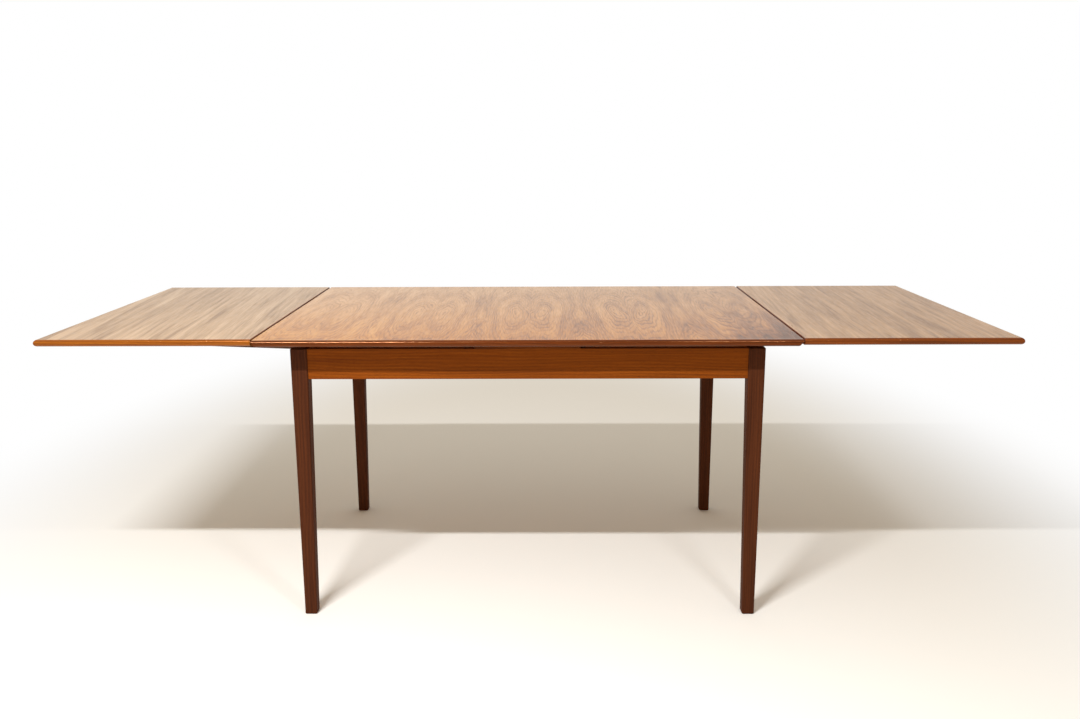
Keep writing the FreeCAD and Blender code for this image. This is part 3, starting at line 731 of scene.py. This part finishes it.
def studio_floor():
    """A wide pale floor that keeps the table's shadow and pales to the background's white."""
    mesh = bpy.data.meshes.new("floor")
    corners = [(-1, -1), (1, -1), (1, 1), (-1, 1)]
    mesh.from_pydata([(x * FLOOR_REACH, y * FLOOR_REACH, 0) for x, y in corners], [], [(0, 1, 2, 3)])
    floor = bpy.data.objects.new("floor", mesh)
    bpy.context.scene.collection.objects.link(floor)
    material, tree = new_tree("pale_floor")
    paint = add(tree, "ShaderNodeBsdfDiffuse", {"Color": linear(FLOOR_PAINT)})
    glow = add(tree, "ShaderNodeEmission", {"Color": (1, 1, 1, 1), "Strength": 1.0})
    place = add(tree, "ShaderNodeTexCoord").outputs["Object"]
    place = add(tree, "ShaderNodeVectorMath", {0: place, 1: FLOOR_SHAPE}, operation="MULTIPLY")
    reach = add(tree, "ShaderNodeVectorMath", {0: place}, operation="LENGTH").outputs["Value"]
    fade = add(tree, "ShaderNodeMapRange", {"Value": reach, "From Min": FADE_START, "From Max": FADE_END},
               interpolation_type="SMOOTHSTEP")
    share = add(tree, "ShaderNodeMath", {0: fade, 1: background_rays(tree)}, operation="MULTIPLY")
    surface = add(tree, "ShaderNodeMixShader", {0: share, 1: paint, 2: glow})
    add(tree, "ShaderNodeOutputMaterial", {"Surface": surface})
    mesh.materials.append(material)


def studio_world():
    """White to the eye, and a plain soft fill on the table."""
    world = bpy.data.worlds.new("studio")
    bpy.context.scene.world = world
    world.use_nodes = True
    tree = world.node_tree
    tree.nodes.clear()
    fill = add(tree, "ShaderNodeBackground", {"Color": linear(FILL_COLOUR), "Strength": FILL_STRENGTH})
    white = add(tree, "ShaderNodeBackground", {"Color": (1, 1, 1, 1), "Strength": 1.0})
    shown = add(tree, "ShaderNodeMixShader", {0: background_rays(tree), 1: fill, 2: white})
    add(tree, "ShaderNodeOutputWorld", {"Surface": shown})


def studio_lamps():
    """Two long lamps overhead in front, the left one stronger, and a wide soft one behind."""
    for name, (place, target, size, power) in LAMPS.items():
        light = bpy.data.lights.new(name, "AREA")
        light.shape = "RECTANGLE"
        light.size, light.size_y = size
        light.energy = power
        holder = bpy.data.objects.new(name, light)
        bpy.context.scene.collection.objects.link(holder)
        away = Vector(place) - Vector(target)
        turned = away.to_track_quat("Z", "Y").to_matrix().to_4x4()
        holder.matrix_world = Matrix.Translation(place) @ turned


# ---- Camera ----

CAMERA_PLACE = Vector((0.0519, -2.7047, 1.1809))
CAMERA_PITCH = 0.21657        # radians below level
CAMERA_TURN = 0.00924         # radians to the left
CAMERA_ROLL = -0.00404        # radians anticlockwise
SENSOR_WIDTH = 36.0
IMAGE_WIDTH = 1080
FOCAL_PIXELS = 983.2          # focal length in pixels of an image that wide


def add_camera():
    """The camera: its place, and its three axes worked out from turn, pitch and roll."""
    right = Vector((math.cos(CAMERA_TURN), math.sin(CAMERA_TURN), 0))
    level = Vector((-math.sin(CAMERA_TURN), math.cos(CAMERA_TURN), 0))
    up = Vector((0, 0, 1))
    ahead = level * math.cos(CAMERA_PITCH) - up * math.sin(CAMERA_PITCH)
    over = level * math.sin(CAMERA_PITCH) + up * math.cos(CAMERA_PITCH)
    x_axis = right * math.cos(CAMERA_ROLL) + over * math.sin(CAMERA_ROLL)
    y_axis = over * math.cos(CAMERA_ROLL) - right * math.sin(CAMERA_ROLL)
    data = bpy.data.cameras.new("camera")
    data.sensor_width = SENSOR_WIDTH
    data.lens = FOCAL_PIXELS * SENSOR_WIDTH / IMAGE_WIDTH
    camera = bpy.data.objects.new("camera", data)
    bpy.context.scene.collection.objects.link(camera)
    turned = Matrix((x_axis, y_axis, -ahead)).transposed().to_4x4()
    camera.matrix_world = Matrix.Translation(CAMERA_PLACE) @ turned
    bpy.context.scene.camera = camera


add_camera()
dress_wood()
add_screws()
guide_battens()
studio_floor()
studio_world()
studio_lamps()
bpy.context.scene.view_settings.view_transform = "Standard"
